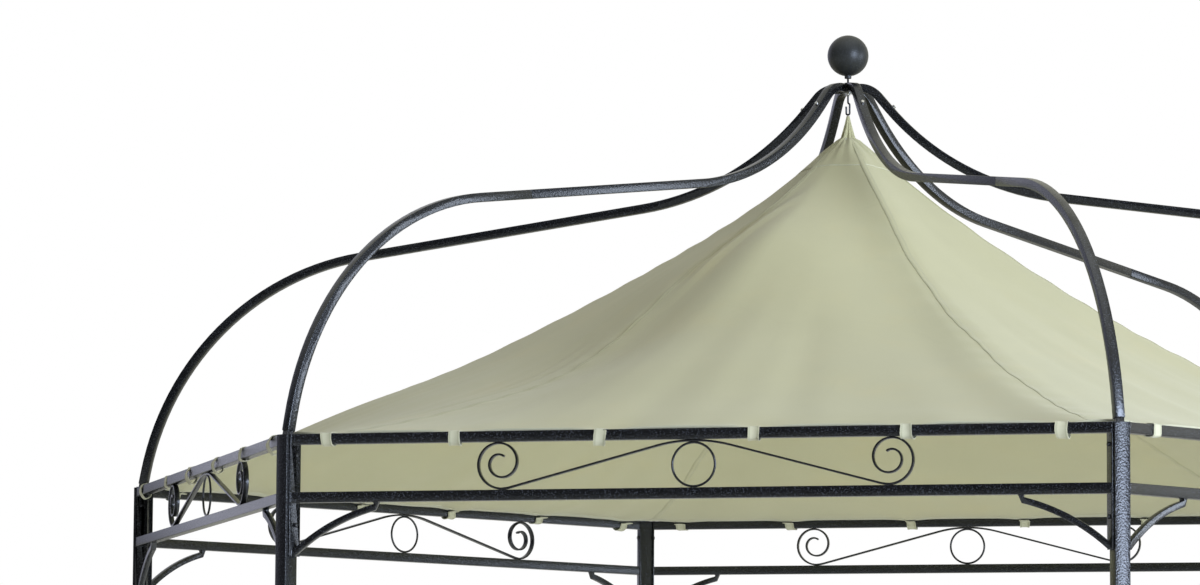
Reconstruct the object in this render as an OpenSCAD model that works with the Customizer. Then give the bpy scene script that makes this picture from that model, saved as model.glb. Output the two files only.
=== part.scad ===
// Hexagonal garden gazebo: six posts joined by railed side frames with scrollwork,
// six curved roof ribs that meet at a crown, and a fabric canopy hung inside them.
// Millimetres, Z up. The ground is Z = 0 and the gazebo's own axis is the Z axis.

/* [Overall] */
// From the axis to the middle of each post
post_radius = 1734; // [1400:1:2400]
// Height of the top face of the upper rails above the ground
eaves_height = 2100; // [1700:1:2700]

/* [Posts] */
// Width of a post's square tube
post_w = 32; // [28:1:50]
// Wall of a post's tube
post_wall = 1.5; // [1:0.1:3]
// Side of the square foot plate under a post
foot_w = 100; // [90:1:160]
// Thickness of the foot plate
foot_t = 6; // [3:0.5:12]
// Diameter of the anchor holes in the foot plate
anchor_d = 10; // [6:0.5:14]
// Circle through the four anchor holes
anchor_circle = 102; // [80:1:120]
// Thickness of the cap that closes a post's top
cap_t = 5; // [4:0.5:8]

/* [Side frames] */
// Width of the square rails
rail_w = 22; // [16:1:30]
// From the top of the upper rail to the top of the lower rail
rail_pitch = 120.4; // [95:0.1:180]
// How far the rails stand outside the line between the post middles
rail_offset = 5; // [0:0.5:8]
// Width of the end plates that lie on the posts
plate_w = 30; // [26:1:40]
// Thickness of the end plates
plate_t = 3.5; // [2:0.5:6]
// Length of the end plates
plate_h = 253; // [200:1:330]
// Thickness of the curved corner braces
brace_w = 13; // [8:1:16]
// How far the lower rail clears the top of a brace's flat end
brace_drop = 10.9; // [8:0.1:16]
// Steepness of a brace where it meets the end plate
brace_steep = 42.5; // [40:0.5:50]
// Steepness of a brace near the lower rail
brace_flat = 14; // [10:1:20]

/* [Scrollwork] */
// Thickness of the scroll bar
bar_t = 4.4; // [3:0.1:6]
// Depth of the scroll bar, front to back
bar_d = 12; // [8:1:16]
// From the middle of a side to the eye of each scroll
scroll_x = 406; // [300:1:520]
// Spacing between the turns of a scroll
scroll_pitch = 23.5; // [18:0.5:28]
// Radius of the bend under each scroll
bend_r = 90; // [60:1:120]
// Radius of the sloping bar's crest over the ring
crest_r = 300; // [90:5:400]
// Wire diameter of the ring in the middle
ring_wire = 5; // [3:0.5:8]

/* [Ribs] */
// Width of a rib's square tube
rib_w = 20; // [16:1:26]
// Wall of a rib's tube
rib_wall = 1.2; // [1:0.1:2]
// Lean of a rib's foot from upright, in degrees
rib_lean = 11; // [6:0.5:16]
// Straight length at a rib's foot
rib_lead = 30; // [20:1:60]
// Radius of a rib's shoulder
shoulder_r = 636; // [500:1:760]
// Slope of a rib's long straight run, in degrees
run_slope = 8; // [4:0.5:12]
// Radius of the hollow curve below the crown
hollow_r = 630; // [500:1:760]
// Slope of a rib just below the crown, in degrees
neck_slope = 50; // [42:1:56]
// Straight length just below the crown
neck_len = 41; // [20:1:80]
// Radius of the last bend at the crown
crown_r = 55; // [40:1:80]
// From the end of the shoulder to the joint between a rib's two lengths
joint_run = 150; // [80:1:220]
// Length of the spigot at that joint
joint_spigot = 40; // [25:1:80]

/* [Crown] */
// Land left on the hub between neighbouring ribs
hub_land = 2.7; // [1:0.1:12]
// Diameter of the ball
ball_d = 96; // [60:1:140]
// Clear stud between the hub and the ball's collar
ball_gap = 10; // [5:1:30]
// Diameter of the stud
stud_d = 5; // [4:0.5:8]
// Wire diameter of the canopy hook
hook_wire = 4.4; // [3:0.1:6]
// From the underside of the nut to the bottom of the hook's wire
hook_len = 47; // [40:1:80]

/* [Canopy] */
// Thickness of the canopy's solid, measured upright
cloth_t = 3; // [2:0.5:6]
// Length of the gathered point at the canopy's top
point_len = 45; // [30:1:70]
// Radius at the foot of the gathered point
point_r = 14.3; // [10:0.1:20]
// How hollow the canopy's slope is, where 1 is a straight slope
canopy_sag = 1.6; // [1.2:0.1:2]
// How far the canopy's hem hangs below the top of the rail
hem_drop = 6; // [0:1:15]
// Width of the fabric loops round the upper rails
loop_w = 24; // [15:1:40]
// Fabric thickness of the loops
loop_t = 1.2; // [0.8:0.1:3]
// From an end plate to the middle of the first loop
loop_margin = 77.5; // [60:0.5:160]
// Loops on each side
loop_count = 6; // [2:1:6]

/* [Hidden] */
$fn = 48;
// Clearance between a part and what it slides into, on each side
fit = 0.3;
// Clearance between a rail and the fabric loop round it
loop_fit = 0.4;
// Gap between a post's top and the rib's foot
rib_gap = 8;
// How far a spigot is let into the part that carries it
root = 3;
// Radial inset of a spigot's foot from the post's middle
rib_inset = 1;
// How far a spigot stops short of a bore's straight length
spigot_short = 2;
// How far a welded bar reaches into the plate that it is welded to
weld = 0.2;
// How far the plug round a rib's joint spigot sits inside the rib's end
plug_back = 0.5;
// Length of the hub's spigots, and of the straight rib ends over them
hub_spigot = 8;
hub_straight = 10;
// Stub that joins a brace's end to the lower rail
stub_w = 12.5;
stub_shift = 3;
hub_boss_r = 8.5;
hub_boss_h = 4;
washer_r = 12;
washer_t = 1.5;
nut_flats = 9;
nut_h = 5;
stud_end = 2;
collar_r = 8;
collar_h = 6;
hook_bend = 4;
hook_tip = 16;
hook_jog = 19;
seam_gap = 0.3;
corner_gap = 10;
corner_trim = 60;

rail_plane = post_radius * cos(30) + rail_offset;
plate_face = post_w / 2 + plate_t;
rail_gap = rail_pitch - rail_w;
rail_under = eaves_height - rail_pitch - rail_w;
spigot_w = rib_w - 2 * rib_wall - 2 * fit;

// Half the width of a side between its end plates, at distance y from the axis
function half_side(y) = y * tan(30) - plate_face / cos(30);

// Points on a circle from angle a to angle b, in n steps
function sweep(c, r, a, b, n) = [for (i = [0:n]) let(t = a + (b - a) * i / n) c + r * [cos(t), sin(t)]];

// Unit direction of a path at point i
function along(p, i) =
    let(d = p[min(i + 1, len(p) - 1)] - p[max(i - 1, 0)]) d / norm(d);

// The path moved sideways by h
function beside(p, h) = [for (i = [0:len(p) - 1]) let(d = along(p, i)) p[i] + h * [-d[1], d[0]]];

function backwards(p) = [for (i = [len(p) - 1:-1:0]) p[i]];

// Outline of a bar with half-thickness h whose middle follows the path
function band(p, h) = concat(beside(p, h), backwards(beside(p, -h)));

// Path with both ends lengthened by e
function longer(p, e) =
    let(n = len(p) - 1)
    concat([p[0] - e * along(p, 0)], p, [p[n] + e * along(p, n)]);

// Rib line, as [distance from the axis, height]
rib_base = [post_radius - rib_inset, eaves_height];
rib_foot = rib_base + rib_gap * [-sin(rib_lean), cos(rib_lean)];
shoulder_a = rib_foot + rib_lead * [-sin(rib_lean), cos(rib_lean)];
shoulder_c = shoulder_a - shoulder_r * [cos(rib_lean), sin(rib_lean)];
shoulder_b = shoulder_c + shoulder_r * [sin(run_slope), cos(run_slope)];
joint_at = shoulder_b + joint_run * [-1, tan(run_slope)];
hub_apothem = rib_w / 2 / tan(30) + hub_land;
crown_end = hub_apothem + hub_straight;
neck_top_r = crown_end + crown_r * sin(neck_slope);
neck_low_r = neck_top_r + neck_len * cos(neck_slope);
hollow_start_r = neck_low_r + hollow_r * (sin(neck_slope) - sin(run_slope));
hollow_a = [hollow_start_r, shoulder_b[1] + (shoulder_b[0] - hollow_start_r) * tan(run_slope)];
hollow_c = hollow_a + hollow_r * [sin(run_slope), cos(run_slope)];
neck_a = hollow_c - hollow_r * [sin(neck_slope), cos(neck_slope)];
neck_b = neck_a + neck_len * [-cos(neck_slope), sin(neck_slope)];
crown_c = neck_b - crown_r * [sin(neck_slope), cos(neck_slope)];
crown_z = crown_c[1] + crown_r;

lower_path = concat([rib_foot],
    sweep(shoulder_c, shoulder_r, rib_lean, 90 - run_slope, 28),
    [joint_at]);
upper_path = concat([joint_at],
    sweep(hollow_c, hollow_r, 270 - run_slope, 270 - neck_slope, 20),
    sweep(crown_c, crown_r, 90 - neck_slope, 90, 10),
    [[hub_apothem + fit, crown_z]]);

// Crown stack, downwards from the hub
hub_top = crown_z + rib_w / 2;
hub_low = crown_z - rib_w / 2;
nut_low = hub_low - washer_t - nut_h;
hook_top = nut_low - stud_end;
hook_low = nut_low - hook_len;
canopy_top = hook_low - loop_fit;
point_low = canopy_top - point_len;
ball_z = hub_top + hub_boss_h + ball_gap + collar_h + ball_d / 2;

// Scroll line, as [distance along the side, height]
bar_hi = eaves_height - rail_w - fit - bar_t / 2;
bar_lo = eaves_height - rail_pitch + fit + bar_t / 2;
eye_z = (bar_hi + bar_lo) / 2 + scroll_pitch / 4;
eye_r = bar_hi - eye_z - scroll_pitch;
bar_rise = bar_hi - bar_lo;
bar_bends = bend_r + crest_r;
bar_slope = asin(bar_bends / norm([scroll_x, bar_bends - bar_rise]))
    - atan2(bar_bends - bar_rise, scroll_x);
scroll_line = concat(
    [for (i = [-3:54]) let(a = i * 10) [scroll_x, eye_z]
        + (eye_r + scroll_pitch * a / 360) * [sin(a), cos(a)]],
    [for (i = [1:5]) let(a = bar_slope * i / 5) [scroll_x, bar_lo]
        + bend_r * [-sin(a), 1 - cos(a)]],
    [for (i = [6:-1:0]) let(a = bar_slope * i / 6) [0, bar_hi]
        + crest_r * [sin(a), cos(a) - 1]]);
scroll_path = concat(scroll_line,
    [for (i = [len(scroll_line) - 2:-1:0]) [-scroll_line[i][0], scroll_line[i][1]]]);
ring_top = bar_hi - bar_t / 2 + 0.6;
ring_r = (ring_top - (eaves_height - rail_pitch + fit)) / 2 - ring_wire / 2;

// Brace line, as [distance along the side, height]
brace_low = eaves_height - plate_h + brace_w / 2;
brace_x = half_side(rail_plane);
brace_r = (plate_h - rail_pitch - rail_w - brace_w / 2 - brace_drop)
    / (cos(brace_flat) - cos(brace_steep));
brace_c = [brace_x - brace_r * sin(brace_steep), brace_low - brace_r * cos(brace_steep)];
brace_path = concat(
    [[brace_x, brace_low] + brace_w * [sin(brace_steep), -cos(brace_steep)]],
    sweep(brace_c, brace_r, 90 - brace_steep, 90 - brace_flat, 12));
brace_end = brace_c + brace_r * [sin(brace_flat), cos(brace_flat)];

// Canopy
hem_plane = rail_plane - rail_w / 2 - 2 * loop_fit - loop_t;
corner_r = post_radius - post_w / 2 - corner_gap;
hem_z = eaves_height - hem_drop;
loop_pitch = 2 * (half_side(rail_plane) - loop_margin) / (loop_count - 1);
corner_y = corner_r * sin(30) - seam_gap / 2;
HEM = [
    [corner_r * cos(30), -corner_y],
    [hem_plane, corner_trim - corner_y],
    [hem_plane, 0],
    [hem_plane, corner_y - corner_trim],
    [corner_r * cos(30), corner_y]
];
canopy_eye = (point_r + 0.5) / cos(30);
canopy_rows = 16;

// Lays an outline drawn as [distance from the axis, height] in the plane of corner k
module in_corner(k, w) {
    rotate([0, 0, 60 * k])
        rotate([90, 0, 0])
            linear_extrude(height = w, center = true)
                children();
}

// Lays an outline drawn as [distance along the side, height] in the rails' plane of side k
module in_side(k, d) {
    rotate([0, 0, 60 * k + 30])
        translate([rail_plane, 0, 0])
            rotate([90, 0, 90])
                linear_extrude(height = d, center = true)
                    children();
}

module post(k) {
    inner = post_w - 2 * post_wall;
    rotate([0, 0, 60 * k])
        translate([post_radius, 0, 0]) {
            difference() {
                translate([-foot_w / 2, -foot_w / 2, 0])
                    cube([foot_w, foot_w, foot_t]);
                for (a = [45:90:315])
                    rotate([0, 0, a])
                        translate([anchor_circle / 2, 0, -1])
                            cylinder(d = anchor_d, h = foot_t + 2);
            }
            difference() {
                translate([-post_w / 2, -post_w / 2, foot_t])
                    cube([post_w, post_w, eaves_height - foot_t]);
                translate([-inner / 2, -inner / 2, foot_t])
                    cube([inner, inner, eaves_height - foot_t - cap_t]);
            }
            translate([-rib_inset, 0, eaves_height])
                rotate([0, -rib_lean, 0])
                    translate([-spigot_w / 2, -spigot_w / 2, -root])
                        cube([spigot_w, spigot_w, root + rib_gap + rib_lead - spigot_short]);
        }
}

// Region between the end plates of side k, with the rails' depth d
module between_plates(k, d, low, high) {
    near = rail_plane - d / 2;
    far = rail_plane + d / 2;
    rotate([0, 0, 60 * k + 30])
        translate([0, 0, low])
            linear_extrude(height = high - low)
                polygon([
                    [near, -half_side(near) - weld],
                    [far, -half_side(far) - weld],
                    [far, half_side(far) + weld],
                    [near, half_side(near) + weld]
                ]);
}

// Curved brace with its cut end turned up to the lower rail
module brace(k, hand) {
    tip_z = rail_under + 0.5;
    intersection() {
        in_side(k, brace_w)
            mirror([hand, 0])
                polygon(concat(
                    beside(brace_path, -brace_w / 2),
                    [[brace_end[0] + stub_shift, tip_z]],
                    [[brace_end[0] + stub_shift - stub_w, tip_z]],
                    backwards(beside(brace_path, brace_w / 2))));
        between_plates(k, rail_w, eaves_height - plate_h, rail_under + 1);
    }
}

module side_frame(k) {
    between_plates(k, rail_w, eaves_height - rail_w, eaves_height);
    between_plates(k, rail_w, rail_under, eaves_height - rail_pitch);
    for (hand = [0, 1]) {
        brace(k, hand);
        rotate([0, 0, 60 * (k + hand)])
            translate([
                post_radius - post_w / 2 - 5,
                hand == 0 ? post_w / 2 : -plate_face,
                eaves_height - plate_h
            ])
                cube([plate_w, plate_t, plate_h]);
    }
}

module scrollwork(k) {
    in_side(k, bar_d)
        polygon(band(scroll_path, bar_t / 2));
    rotate([0, 0, 60 * k + 30])
        translate([rail_plane, 0, ring_top - ring_wire / 2 - ring_r])
            rotate([0, 90, 0])
                rotate_extrude()
                    translate([ring_r, 0])
                        circle(d = ring_wire);
}

module lower_rib(k) {
    difference() {
        in_corner(k, rib_w)
            polygon(band(lower_path, rib_w / 2));
        in_corner(k, rib_w - 2 * rib_wall)
            polygon(band(longer(lower_path, 1), rib_w / 2 - rib_wall));
    }
}

module upper_rib(k) {
    run = [cos(run_slope), -sin(run_slope)];
    difference() {
        in_corner(k, rib_w)
            polygon(band(upper_path, rib_w / 2));
        in_corner(k, rib_w - 2 * rib_wall)
            polygon(band(longer(upper_path, 1), rib_w / 2 - rib_wall));
    }
    in_corner(k, rib_w - 2 * rib_wall + 2 * weld)
        polygon(band([joint_at - plug_back * run, joint_at - joint_spigot * run],
            rib_w / 2 - rib_wall + weld));
    in_corner(k, spigot_w)
        polygon(band([joint_at - 2 * run, joint_at + joint_spigot * run], spigot_w / 2));
}

module panel(k) {
    wide = len(HEM);
    function place(i, j, drop) =
        let(u = i / canopy_rows, grow = canopy_eye / corner_r)
        [
            HEM[j][0] * (grow + (1 - grow) * u),
            HEM[j][1] * (grow + (1 - grow) * u),
            hem_z + (point_low - hem_z) * pow(1 - u, canopy_sag) - drop
        ];
    upper = [for (i = [0:canopy_rows]) for (j = [0:wide - 1]) place(i, j, 0)];
    lower = [for (i = [0:canopy_rows]) for (j = [0:wide - 1]) place(i, j, cloth_t)];
    n = len(upper);
    function at(i, j) = i * wide + j;
    quads = concat(
        [for (i = [0:canopy_rows - 1]) for (j = [0:wide - 2])
            [at(i, j), at(i, j + 1), at(i + 1, j + 1), at(i + 1, j)]],
        [for (i = [0:canopy_rows - 1]) for (j = [0:wide - 2])
            [n + at(i, j), n + at(i + 1, j), n + at(i + 1, j + 1), n + at(i, j + 1)]],
        [for (i = [0:canopy_rows - 1])
            [at(i, 0), at(i + 1, 0), n + at(i + 1, 0), n + at(i, 0)]],
        [for (i = [0:canopy_rows - 1])
            [at(i + 1, wide - 1), at(i, wide - 1), n + at(i, wide - 1), n + at(i + 1, wide - 1)]],
        [for (j = [0:wide - 2])
            [at(0, j + 1), at(0, j), n + at(0, j), n + at(0, j + 1)]],
        [for (j = [0:wide - 2])
            [at(canopy_rows, j), at(canopy_rows, j + 1),
                n + at(canopy_rows, j + 1), n + at(canopy_rows, j)]]
    );
    faces = [for (q = quads) for (h = [0, 1]) [q[0], q[h + 1], q[h + 2]]];
    rotate([0, 0, 60 * k + 30])
        polyhedron(points = concat(upper, lower), faces = faces);
}

module loops(k) {
    hole = rail_w + 2 * loop_fit;
    size = hole + 2 * loop_t;
    rotate([0, 0, 60 * k + 30])
        for (i = [0:loop_count - 1])
            translate([
                rail_plane,
                (i - (loop_count - 1) / 2) * loop_pitch,
                eaves_height - rail_w / 2
            ])
                difference() {
                    cube([size, loop_w, size], center = true);
                    cube([hole, loop_w + 2, hole], center = true);
                }
}

module crown_hub() {
    color("dimgray")
        difference() {
            union() {
                translate([0, 0, hub_low])
                    rotate([0, 0, 30])
                        cylinder(r = hub_apothem / cos(30), h = rib_w, $fn = 6);
                translate([0, 0, hub_top - 1])
                    cylinder(r = hub_boss_r, h = hub_boss_h + 1);
                for (k = [0:5])
                    rotate([0, 0, 60 * k])
                        translate([hub_apothem - 1, -spigot_w / 2, crown_z - spigot_w / 2])
                            cube([hub_spigot + 1, spigot_w, spigot_w]);
            }
            translate([0, 0, hub_low - 1])
                cylinder(d = stud_d + 2 * fit, h = rib_w + hub_boss_h + 2);
        }
}

module ball_finial() {
    color("dimgray") {
        translate([0, 0, ball_z])
            sphere(d = ball_d);
        translate([0, 0, ball_z - ball_d / 2 - collar_h])
            cylinder(r = collar_r, h = collar_h + 3);
        translate([0, 0, hook_top])
            cylinder(d = stud_d, h = ball_z - ball_d / 2 - hook_top);
    }
}

module crown_nut() {
    color("silver")
        difference() {
            union() {
                translate([0, 0, hub_low - washer_t])
                    cylinder(r = washer_r, h = washer_t);
                translate([0, 0, nut_low])
                    cylinder(r = nut_flats / 2 / cos(30), h = nut_h + 0.5, $fn = 6);
            }
            translate([0, 0, nut_low - 1])
                cylinder(d = stud_d + 2 * fit, h = washer_t + nut_h + 2);
        }
}

module canopy_hook() {
    bend_z = hook_low + hook_wire / 2 + hook_bend;
    jog_z = bend_z + hook_jog;
    jog_top = jog_z + 2 * hook_bend * sin(60);
    path = concat(
        [[0, hook_top]],
        sweep([hook_bend, jog_top], hook_bend, 180, 240, 4),
        sweep([0, jog_z], hook_bend, 50, 0, 4),
        sweep([0, bend_z], hook_bend, 0, -180, 12),
        [[-hook_bend, bend_z + hook_tip]]);
    color("black")
        rotate([90, 0, 0])
            linear_extrude(height = hook_wire, center = true)
                polygon(band(path, hook_wire / 2));
}

module canopy_point() {
    color("darkkhaki")
        translate([0, 0, point_low])
            cylinder(r1 = point_r, r2 = 3, h = point_len);
}

module post_right() { color("dimgray") post(0); }
module post_back_right() { color("dimgray") post(1); }
module post_back_left() { color("dimgray") post(2); }
module post_left() { color("dimgray") post(3); }
module post_front_left() { color("dimgray") post(4); }
module post_front_right() { color("dimgray") post(5); }
module side_frame_back_right() { color("slategray") side_frame(0); }
module side_frame_back() { color("slategray") side_frame(1); }
module side_frame_back_left() { color("slategray") side_frame(2); }
module side_frame_front_left() { color("slategray") side_frame(3); }
module side_frame_front() { color("slategray") side_frame(4); }
module side_frame_front_right() { color("slategray") side_frame(5); }
module scrollwork_back_right() { color("black") scrollwork(0); }
module scrollwork_back() { color("black") scrollwork(1); }
module scrollwork_back_left() { color("black") scrollwork(2); }
module scrollwork_front_left() { color("black") scrollwork(3); }
module scrollwork_front() { color("black") scrollwork(4); }
module scrollwork_front_right() { color("black") scrollwork(5); }
module lower_rib_right() { color("steelblue") lower_rib(0); }
module lower_rib_back_right() { color("steelblue") lower_rib(1); }
module lower_rib_back_left() { color("steelblue") lower_rib(2); }
module lower_rib_left() { color("steelblue") lower_rib(3); }
module lower_rib_front_left() { color("steelblue") lower_rib(4); }
module lower_rib_front_right() { color("steelblue") lower_rib(5); }
module upper_rib_right() { color("cadetblue") upper_rib(0); }
module upper_rib_back_right() { color("cadetblue") upper_rib(1); }
module upper_rib_back_left() { color("cadetblue") upper_rib(2); }
module upper_rib_left() { color("cadetblue") upper_rib(3); }
module upper_rib_front_left() { color("cadetblue") upper_rib(4); }
module upper_rib_front_right() { color("cadetblue") upper_rib(5); }
module canopy_panel_back_right() { color("darkkhaki") panel(0); }
module canopy_panel_back() { color("darkkhaki") panel(1); }
module canopy_panel_back_left() { color("darkkhaki") panel(2); }
module canopy_panel_front_left() { color("darkkhaki") panel(3); }
module canopy_panel_front() { color("darkkhaki") panel(4); }
module canopy_panel_front_right() { color("darkkhaki") panel(5); }
module rail_loops_back_right() { color("tan") loops(0); }
module rail_loops_back() { color("tan") loops(1); }
module rail_loops_back_left() { color("tan") loops(2); }
module rail_loops_front_left() { color("tan") loops(3); }
module rail_loops_front() { color("tan") loops(4); }
module rail_loops_front_right() { color("tan") loops(5); }

post_right();
post_back_right();
post_back_left();
post_left();
post_front_left();
post_front_right();
side_frame_back_right();
side_frame_back();
side_frame_back_left();
side_frame_front_left();
side_frame_front();
side_frame_front_right();
scrollwork_back_right();
scrollwork_back();
scrollwork_back_left();
scrollwork_front_left();
scrollwork_front();
scrollwork_front_right();
lower_rib_right();
lower_rib_back_right();
lower_rib_back_left();
lower_rib_left();
lower_rib_front_left();
lower_rib_front_right();
upper_rib_right();
upper_rib_back_right();
upper_rib_back_left();
upper_rib_left();
upper_rib_front_left();
upper_rib_front_right();
canopy_panel_back_right();
canopy_panel_back();
canopy_panel_back_left();
canopy_panel_front_left();
canopy_panel_front();
canopy_panel_front_right();
rail_loops_back_right();
rail_loops_back();
rail_loops_back_left();
rail_loops_front_left();
rail_loops_front();
rail_loops_front_right();
crown_hub();
ball_finial();
crown_nut();
canopy_hook();
canopy_point();
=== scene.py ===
import math
from math import cos, pi, radians, sin, tan

import bmesh
import bpy
from bpy.props import FloatProperty, FloatVectorProperty, PointerProperty
from mathutils import Matrix, Vector, noise


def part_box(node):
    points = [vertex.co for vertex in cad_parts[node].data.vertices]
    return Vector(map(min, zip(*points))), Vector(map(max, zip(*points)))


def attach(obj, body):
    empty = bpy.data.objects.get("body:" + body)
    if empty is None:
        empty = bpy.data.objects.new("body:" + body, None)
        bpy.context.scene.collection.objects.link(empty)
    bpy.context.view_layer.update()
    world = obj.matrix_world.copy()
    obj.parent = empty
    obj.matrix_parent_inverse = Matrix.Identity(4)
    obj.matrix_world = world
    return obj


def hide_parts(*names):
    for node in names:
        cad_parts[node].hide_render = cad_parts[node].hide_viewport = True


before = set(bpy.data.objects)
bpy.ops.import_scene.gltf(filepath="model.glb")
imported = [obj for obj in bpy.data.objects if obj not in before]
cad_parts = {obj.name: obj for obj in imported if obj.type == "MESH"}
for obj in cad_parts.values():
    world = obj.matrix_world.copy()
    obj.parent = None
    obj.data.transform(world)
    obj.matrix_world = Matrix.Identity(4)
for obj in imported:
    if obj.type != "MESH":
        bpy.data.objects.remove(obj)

bl_info = {
    "name": "Hexagonal garden gazebo",
    "version": (1, 0, 0),
    "blender": (4, 5, 0),
    "location": "3D View > Sidebar > Gazebo",
    "description": "Finishes, canopy cloth and small fittings for a six-sided garden gazebo",
    "category": "Object",
}

CORNERS = ["right", "back_right", "back_left", "left", "front_left", "front_right"]
SIDES = ["back_right", "back", "back_left", "front_left", "front", "front_right"]

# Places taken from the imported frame, in metres
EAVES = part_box("side_frame_back")[1].z
POST_R = (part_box("post_right")[0].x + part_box("post_right")[1].x) / 2
RAIL_Y = sum(c.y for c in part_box("scrollwork_back")) / 2
CORNER_R = 2 * (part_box("canopy_panel_back")[1].x + 0.00015)
HEM_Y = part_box("canopy_panel_back")[1].y
POINT_LOW, POINT_TOP = (c.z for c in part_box("canopy_point"))
POINT_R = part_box("canopy_point")[1].x
BALL_TOP, BALL_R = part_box("ball_finial")[1].z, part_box("ball_finial")[1].x
STUD_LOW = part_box("ball_finial")[0].z
HOOK_LOW, HOOK_TOP = (c.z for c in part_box("canopy_hook"))

# Sizes that the fine pieces share with the frame, in metres
RAIL_W = 0.022
RAIL_PITCH = 0.1204
PLATE_FACE = 0.0195
PLATE_MID = POST_R - 0.006
HEM_DROP = 0.002
TAB_GAP = 0.0004
TAB_FIRST = 0.0775
HOOK_WIRE = 0.0044
HOOK_BEND = 0.004
COLLAR_R = 0.008
COLLAR_H = 0.006
STUD_R = 0.0025
CAP_TOP = 0.004
CAP_REACH = 0.055
HALF_ANGLE = pi / 6  # half the angle that one side takes up

# The camera: focal length in mm, turns about the upright, sideways and forward axes, and place
LENS = 148.23
CAMERA_TURNS = 0.25896, 0.10677, 0.00568
CAMERA_PLACE = 2.3708, -11.2034, 1.3057


# ---------------------------------------------------------------- settings

def length(name, text, value, low, high):
    return FloatProperty(name=name, description=text, default=value, min=low, max=high,
                         precision=4, unit="LENGTH")


def colour(name, text, value):
    return FloatVectorProperty(name=name, description=text, default=value, size=3, min=0, max=1,
                               subtype="COLOR")


class GazeboSizes(bpy.types.PropertyGroup):
    edge_round: length("Edge rounding", "How far the tubes' edges are rounded", 0.0012, 0.0002, 0.003)
    cloth: length("Cloth thickness", "Thickness of the canopy cloth", 0.0008, 0.0003, 0.002)
    seam: length("Seam width", "Width of the stitched seams over the corners", 0.015, 0.008, 0.03)
    hem: length("Hem width", "Width of the folded hem", 0.022, 0.01, 0.04)
    tab: length("Tab width", "Width of the cloth tabs round the upper rails", 0.024, 0.012, 0.04)
    screw: length("Screw head", "Diameter of the screw heads", 0.0092, 0.005, 0.014)
    dimple: length("Hammer dimple", "Size of the dimples in the hammered coat", 0.0038, 0.001, 0.006)
    weave: length("Weave pitch", "Distance between the canopy's threads", 0.0007, 0.0003, 0.002)


class GazeboFinishes(bpy.types.PropertyGroup):
    frame_coat: colour("Frame coat", "Colour of the hammered coat on the frame",
                       (0.0050, 0.0052, 0.0064))
    fleck: colour("Fleck", "Colour of the bright flecks in the frame coat", (0.15, 0.165, 0.21))
    scroll_coat: colour("Scroll coat", "Colour of the scrollwork and the hook", (0.008, 0.008, 0.009))
    ball_coat: colour("Ball coat", "Colour of the ball on top", (0.025, 0.027, 0.028))
    zinc: colour("Zinc", "Colour of the plated washer, nut and rib screws", (0.62, 0.63, 0.64))
    cloth: colour("Canopy cloth", "Colour of the canopy cloth", (0.448, 0.438, 0.279))
    tape: colour("Tape", "Colour of the hem and the tabs", (0.51, 0.51, 0.39))
    thread: colour("Thread", "Colour of the stitching", (0.50, 0.50, 0.34))
    floor: colour("Floor", "Colour of the floor", (0.80, 0.80, 0.79))


def sizes():
    return bpy.context.scene.gazebo_sizes


def finishes():
    return bpy.context.scene.gazebo_finishes


# ---------------------------------------------------------------- node helpers

def feed(tree, socket, value):
    """Links a socket to the value's socket, or sets it."""
    if isinstance(value, bpy.types.NodeSocket):
        tree.links.new(value, socket)
    else:
        socket.default_value = value


def put(tree, kind, sockets=None, **fields):
    """Adds a node, sets its fields, and sets or links its sockets."""
    made = tree.nodes.new(kind)
    for field, value in fields.items():
        setattr(made, field, value)
    for socket, value in (sockets or {}).items():
        feed(tree, made.inputs[socket], value)
    return made


def calc(tree, operation, a, b=0.0):
    return put(tree, "ShaderNodeMath", {0: a, 1: b}, operation=operation).outputs[0]


def blend_colour(tree, share, a, b, mode="MIX"):
    made = put(tree, "ShaderNodeMix", {"Factor": share, 6: a, 7: b}, data_type="RGBA", blend_type=mode)
    return made.outputs[2]


def times(tree, a, b):
    return calc(tree, "MULTIPLY", a, b)


def plus(tree, a, b):
    return calc(tree, "ADD", a, b)


def minus(tree, a, b):
    return calc(tree, "SUBTRACT", a, b)


def speckle(tree, place, scale, detail, out=0):
    """Noise: its value, or its colour where out is 1."""
    made = put(tree, "ShaderNodeTexNoise", {"Vector": place, "Scale": scale, "Detail": detail})
    return made.outputs[out]


def shift(tree, place, way, share):
    """The place moved by a share of the way."""
    part = put(tree, "ShaderNodeVectorMath", {0: way, "Scale": share}, operation="SCALE")
    return put(tree, "ShaderNodeVectorMath", {0: place, 1: part.outputs[0]}).outputs[0]


def spread_to(tree, value, low, high):
    """A value from 0 to 1 spread from low to high."""
    return put(tree, "ShaderNodeMapRange", {"Value": value, "To Min": low, "To Max": high}).outputs[0]


def steps(tree, value, low, high):
    """A soft step: 0 below low, 1 above high."""
    made = put(tree, "ShaderNodeMapRange", {"Value": value, "From Min": low, "From Max": high},
               interpolation_type="SMOOTHSTEP")
    return made.outputs[0]


def group(name, inputs, outputs):
    tree = bpy.data.node_groups.new(name, "ShaderNodeTree")
    for label, kind in inputs:
        tree.interface.new_socket(name=label, in_out="INPUT", socket_type="NodeSocket" + kind)
    for label, kind in outputs:
        tree.interface.new_socket(name=label, in_out="OUTPUT", socket_type="NodeSocket" + kind)
    return tree, tree.nodes.new("NodeGroupInput").outputs, tree.nodes.new("NodeGroupOutput").inputs


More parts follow.
